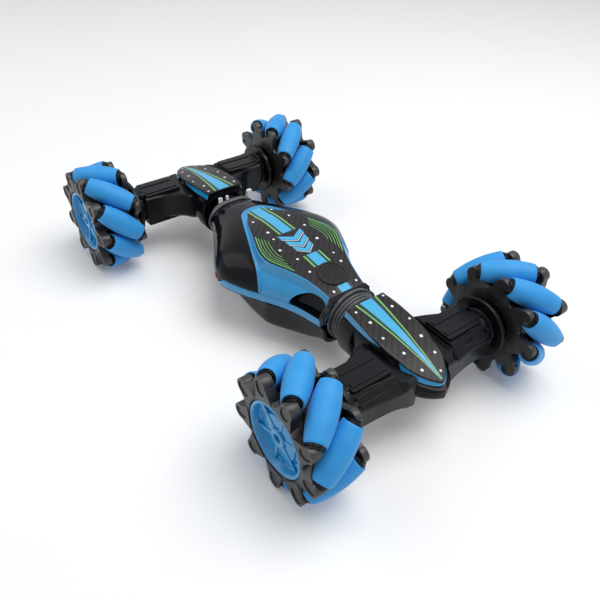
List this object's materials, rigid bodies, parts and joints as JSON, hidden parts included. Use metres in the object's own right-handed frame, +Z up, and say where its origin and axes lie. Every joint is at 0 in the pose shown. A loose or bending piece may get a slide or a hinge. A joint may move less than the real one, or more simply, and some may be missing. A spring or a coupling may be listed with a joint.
{
  "type": "rc stunt car",
  "caption": "Remote-controlled stunt car with a blue and black double-sided body, axle modules that twist at each end, and mecanum wheels with free barrel rollers.",
  "frame": {"origin": "floor under the middle of the car", "axes": "+X to the front, +Y to the car's left, +Z up"},
  "size_m": [0.4368, 0.2598, 0.1039],
  "materials": {
    "black_abs": "satin",
    "blue_abs": "gloss",
    "gloss_black_pc": "high gloss",
    "printed_deck": "gloss print",
    "speaker_black": "matte",
    "battery_wrap": "satin",
    "board": "satin",
    "motor_steel": "brushed",
    "charcoal_abs": "satin",
    "roller_foam": "matte"
  },
  "bodies": {
    "chassis": {"lower_shell": "black_abs", "upper_shell": "blue_abs", "rear_canopy": "gloss_black_pc", "deck_panel": "printed_deck", "speaker": "speaker_black", "battery_pack": "battery_wrap", "battery_door": "black_abs", "circuit_board": "board", "twist_motors": "motor_steel"},
    "switch": {"power_switch": "black_abs"},
    "front_module": {"front_lower_housing": "black_abs", "front_upper_housing": "black_abs", "front_gearmotors": "motor_steel"},
    "rear_module": {"rear_lower_housing": "black_abs", "rear_upper_housing": "black_abs", "rear_gearmotors": "motor_steel"},
    "wheel_fr": {"rim_fr": "charcoal_abs", "hub_cap_fr": "blue_abs"},
    "wheel_fl": {"rim_fl": "charcoal_abs", "hub_cap_fl": "blue_abs"},
    "wheel_rr": {"rim_rr": "charcoal_abs", "hub_cap_rr": "blue_abs"},
    "wheel_rl": {"rim_rl": "charcoal_abs", "hub_cap_rl": "blue_abs"},
    "roller_fr_1": {"roller_fr_1": "roller_foam"},
    "roller_fr_2": {"roller_fr_2": "roller_foam"},
    "roller_fr_3": {"roller_fr_3": "roller_foam"},
    "roller_fr_4": {"roller_fr_4": "roller_foam"},
    "roller_fr_5": {"roller_fr_5": "roller_foam"},
    "roller_fr_6": {"roller_fr_6": "roller_foam"},
    "roller_fr_7": {"roller_fr_7": "roller_foam"},
    "roller_fr_8": {"roller_fr_8": "roller_foam"},
    "roller_fr_9": {"roller_fr_9": "roller_foam"},
    "roller_fl_1": {"roller_fl_1": "roller_foam"},
    "roller_fl_2": {"roller_fl_2": "roller_foam"},
    "roller_fl_3": {"roller_fl_3": "roller_foam"},
    "roller_fl_4": {"roller_fl_4": "roller_foam"},
    "roller_fl_5": {"roller_fl_5": "roller_foam"},
    "roller_fl_6": {"roller_fl_6": "roller_foam"},
    "roller_fl_7": {"roller_fl_7": "roller_foam"},
    "roller_fl_8": {"roller_fl_8": "roller_foam"},
    "roller_fl_9": {"roller_fl_9": "roller_foam"},
    "roller_rr_1": {"roller_rr_1": "roller_foam"},
    "roller_rr_2": {"roller_rr_2": "roller_foam"},
    "roller_rr_3": {"roller_rr_3": "roller_foam"},
    "roller_rr_4": {"roller_rr_4": "roller_foam"},
    "roller_rr_5": {"roller_rr_5": "roller_foam"},
    "roller_rr_6": {"roller_rr_6": "roller_foam"},
    "roller_rr_7": {"roller_rr_7": "roller_foam"},
    "roller_rr_8": {"roller_rr_8": "roller_foam"},
    "roller_rr_9": {"roller_rr_9": "roller_foam"},
    "roller_rl_1": {"roller_rl_1": "roller_foam"},
    "roller_rl_2": {"roller_rl_2": "roller_foam"},
    "roller_rl_3": {"roller_rl_3": "roller_foam"},
    "roller_rl_4": {"roller_rl_4": "roller_foam"},
    "roller_rl_5": {"roller_rl_5": "roller_foam"},
    "roller_rl_6": {"roller_rl_6": "roller_foam"},
    "roller_rl_7": {"roller_rl_7": "roller_foam"},
    "roller_rl_8": {"roller_rl_8": "roller_foam"},
    "roller_rl_9": {"roller_rl_9": "roller_foam"}
  },
  "joints": [
    {"name": "power_slide", "type": "slide", "parent": "chassis", "child": "switch", "axis": [0, 1, 0], "range_m": [0, 0.004]},
    {"name": "front_twist", "type": "hinge", "parent": "chassis", "child": "front_module", "pos_m": [0.1, 0, 0.052], "axis": [1, 0, 0], "range_deg": [-90, 90]},
    {"name": "rear_twist", "type": "hinge", "parent": "chassis", "child": "rear_module", "pos_m": [-0.1, 0, 0.052], "axis": [1, 0, 0], "range_deg": [-90, 90]},
    {"name": "wheel_fr_spin", "type": "hinge", "parent": "front_module", "child": "wheel_fr", "pos_m": [0.1665, -0.1063, 0.052], "axis": [0, 1, 0], "continuous": true},
    {"name": "wheel_fl_spin", "type": "hinge", "parent": "front_module", "child": "wheel_fl", "pos_m": [0.1665, 0.1063, 0.052], "axis": [0, 1, 0], "continuous": true},
    {"name": "wheel_rr_spin", "type": "hinge", "parent": "rear_module", "child": "wheel_rr", "pos_m": [-0.1665, -0.1063, 0.052], "axis": [0, 1, 0], "continuous": true},
    {"name": "wheel_rl_spin", "type": "hinge", "parent": "rear_module", "child": "wheel_rl", "pos_m": [-0.1665, 0.1063, 0.052], "axis": [0, 1, 0], "continuous": true},
    {"name": "roller_fr_1_spin", "type": "hinge", "parent": "wheel_fr", "child": "roller_fr_1", "pos_m": [0.20622, -0.1063, 0.06369], "axis": [0.1961, -0.7193, -0.6664], "continuous": true},
    {"name": "roller_fr_2_spin", "type": "hinge", "parent": "wheel_fr", "child": "roller_fr_2", "pos_m": [0.18941, -0.1063, 0.08648], "axis": [0.5786, -0.7193, -0.3844], "continuous": true},
    {"name": "roller_fr_3_spin", "type": "hinge", "parent": "wheel_fr", "child": "roller_fr_3", "pos_m": [0.16189, -0.1063, 0.09314], "axis": [0.6903, -0.7193, 0.0774], "continuous": true},
    {"name": "roller_fr_4_spin", "type": "hinge", "parent": "wheel_fr", "child": "roller_fr_4", "pos_m": [0.13652, -0.1063, 0.08055], "axis": [0.4791, -0.7193, 0.5031], "continuous": true},
    {"name": "roller_fr_5_spin", "type": "hinge", "parent": "wheel_fr", "child": "roller_fr_5", "pos_m": [0.12518, -0.1063, 0.0546], "axis": [0.0436, -0.7193, 0.6933], "continuous": true},
    {"name": "roller_fr_6_spin", "type": "hinge", "parent": "wheel_fr", "child": "roller_fr_6", "pos_m": [0.13318, -0.1063, 0.02743], "axis": [-0.4122, -0.7193, 0.5591], "continuous": true},
    {"name": "roller_fr_7_spin", "type": "hinge", "parent": "wheel_fr", "child": "roller_fr_7", "pos_m": [0.15677, -0.1063, 0.01176], "axis": [-0.6752, -0.7193, 0.1633], "continuous": true},
    {"name": "roller_fr_8_spin", "type": "hinge", "parent": "wheel_fr", "child": "roller_fr_8", "pos_m": [0.18491, -0.1063, 0.01492], "axis": [-0.6222, -0.7193, -0.3089], "continuous": true},
    {"name": "roller_fr_9_spin", "type": "hinge", "parent": "wheel_fr", "child": "roller_fr_9", "pos_m": [0.20444, -0.1063, 0.03543], "axis": [-0.2781, -0.7193, -0.6366], "continuous": true},
    {"name": "roller_fl_1_spin", "type": "hinge", "parent": "wheel_fl", "child": "roller_fl_1", "pos_m": [0.20622, 0.1063, 0.06369], "axis": [0.1961, 0.7193, -0.6664], "continuous": true},
    {"name": "roller_fl_2_spin", "type": "hinge", "parent": "wheel_fl", "child": "roller_fl_2", "pos_m": [0.18941, 0.1063, 0.08648], "axis": [0.5786, 0.7193, -0.3844], "continuous": true},
    {"name": "roller_fl_3_spin", "type": "hinge", "parent": "wheel_fl", "child": "roller_fl_3", "pos_m": [0.16189, 0.1063, 0.09314], "axis": [0.6903, 0.7193, 0.0774], "continuous": true},
    {"name": "roller_fl_4_spin", "type": "hinge", "parent": "wheel_fl", "child": "roller_fl_4", "pos_m": [0.13652, 0.1063, 0.08055], "axis": [0.4791, 0.7193, 0.5031], "continuous": true},
    {"name": "roller_fl_5_spin", "type": "hinge", "parent": "wheel_fl", "child": "roller_fl_5", "pos_m": [0.12518, 0.1063, 0.0546], "axis": [0.0436, 0.7193, 0.6933], "continuous": true},
    {"name": "roller_fl_6_spin", "type": "hinge", "parent": "wheel_fl", "child": "roller_fl_6", "pos_m": [0.13318, 0.1063, 0.02743], "axis": [-0.4122, 0.7193, 0.5591], "continuous": true},
    {"name": "roller_fl_7_spin", "type": "hinge", "parent": "wheel_fl", "child": "roller_fl_7", "pos_m": [0.15677, 0.1063, 0.01176], "axis": [-0.6752, 0.7193, 0.1633], "continuous": true},
    {"name": "roller_fl_8_spin", "type": "hinge", "parent": "wheel_fl", "child": "roller_fl_8", "pos_m": [0.18491, 0.1063, 0.01492], "axis": [-0.6222, 0.7193, -0.3089], "continuous": true},
    {"name": "roller_fl_9_spin", "type": "hinge", "parent": "wheel_fl", "child": "roller_fl_9", "pos_m": [0.20444, 0.1063, 0.03543], "axis": [-0.2781, 0.7193, -0.6366], "continuous": true},
    {"name": "roller_rr_1_spin", "type": "hinge", "parent": "wheel_rr", "child": "roller_rr_1", "pos_m": [-0.12678, -0.1063, 0.06369], "axis": [-0.1961, -0.7193, 0.6664], "continuous": true},
    {"name": "roller_rr_2_spin", "type": "hinge", "parent": "wheel_rr", "child": "roller_rr_2", "pos_m": [-0.14359, -0.1063, 0.08648], "axis": [-0.5786, -0.7193, 0.3844], "continuous": true},
    {"name": "roller_rr_3_spin", "type": "hinge", "parent": "wheel_rr", "child": "roller_rr_3", "pos_m": [-0.17111, -0.1063, 0.09314], "axis": [-0.6903, -0.7193, -0.0774], "continuous": true},
    {"name": "roller_rr_4_spin", "type": "hinge", "parent": "wheel_rr", "child": "roller_rr_4", "pos_m": [-0.19648, -0.1063, 0.08055], "axis": [-0.4791, -0.7193, -0.5031], "continuous": true},
    {"name": "roller_rr_5_spin", "type": "hinge", "parent": "wheel_rr", "child": "roller_rr_5", "pos_m": [-0.20782, -0.1063, 0.0546], "axis": [-0.0436, -0.7193, -0.6933], "continuous": true},
    {"name": "roller_rr_6_spin", "type": "hinge", "parent": "wheel_rr", "child": "roller_rr_6", "pos_m": [-0.19982, -0.1063, 0.02743], "axis": [0.4122, -0.7193, -0.5591], "continuous": true},
    {"name": "roller_rr_7_spin", "type": "hinge", "parent": "wheel_rr", "child": "roller_rr_7", "pos_m": [-0.17623, -0.1063, 0.01176], "axis": [0.6752, -0.7193, -0.1633], "continuous": true},
    {"name": "roller_rr_8_spin", "type": "hinge", "parent": "wheel_rr", "child": "roller_rr_8", "pos_m": [-0.14809, -0.1063, 0.01492], "axis": [0.6222, -0.7193, 0.3089], "continuous": true},
    {"name": "roller_rr_9_spin", "type": "hinge", "parent": "wheel_rr", "child": "roller_rr_9", "pos_m": [-0.12856, -0.1063, 0.03543], "axis": [0.2781, -0.7193, 0.6366], "continuous": true},
    {"name": "roller_rl_1_spin", "type": "hinge", "parent": "wheel_rl", "child": "roller_rl_1", "pos_m": [-0.12678, 0.1063, 0.06369], "axis": [-0.1961, 0.7193, 0.6664], "continuous": true},
    {"name": "roller_rl_2_spin", "type": "hinge", "parent": "wheel_rl", "child": "roller_rl_2", "pos_m": [-0.14359, 0.1063, 0.08648], "axis": [-0.5786, 0.7193, 0.3844], "continuous": true},
    {"name": "roller_rl_3_spin", "type": "hinge", "parent": "wheel_rl", "child": "roller_rl_3", "pos_m": [-0.17111, 0.1063, 0.09314], "axis": [-0.6903, 0.7193, -0.0774], "continuous": true},
    {"name": "roller_rl_4_spin", "type": "hinge", "parent": "wheel_rl", "child": "roller_rl_4", "pos_m": [-0.19648, 0.1063, 0.08055], "axis": [-0.4791, 0.7193, -0.5031], "continuous": true},
    {"name": "roller_rl_5_spin", "type": "hinge", "parent": "wheel_rl", "child": "roller_rl_5", "pos_m": [-0.20782, 0.1063, 0.0546], "axis": [-0.0436, 0.7193, -0.6933], "continuous": true},
    {"name": "roller_rl_6_spin", "type": "hinge", "parent": "wheel_rl", "child": "roller_rl_6", "pos_m": [-0.19982, 0.1063, 0.02743], "axis": [0.4122, 0.7193, -0.5591], "continuous": true},
    {"name": "roller_rl_7_spin", "type": "hinge", "parent": "wheel_rl", "child": "roller_rl_7", "pos_m": [-0.17623, 0.1063, 0.01176], "axis": [0.6752, 0.7193, -0.1633], "continuous": true},
    {"name": "roller_rl_8_spin", "type": "hinge", "parent": "wheel_rl", "child": "roller_rl_8", "pos_m": [-0.14809, 0.1063, 0.01492], "axis": [0.6222, 0.7193, 0.3089], "continuous": true},
    {"name": "roller_rl_9_spin", "type": "hinge", "parent": "wheel_rl", "child": "roller_rl_9", "pos_m": [-0.12856, 0.1063, 0.03543], "axis": [0.2781, 0.7193, 0.6366], "continuous": true}
  ]
}
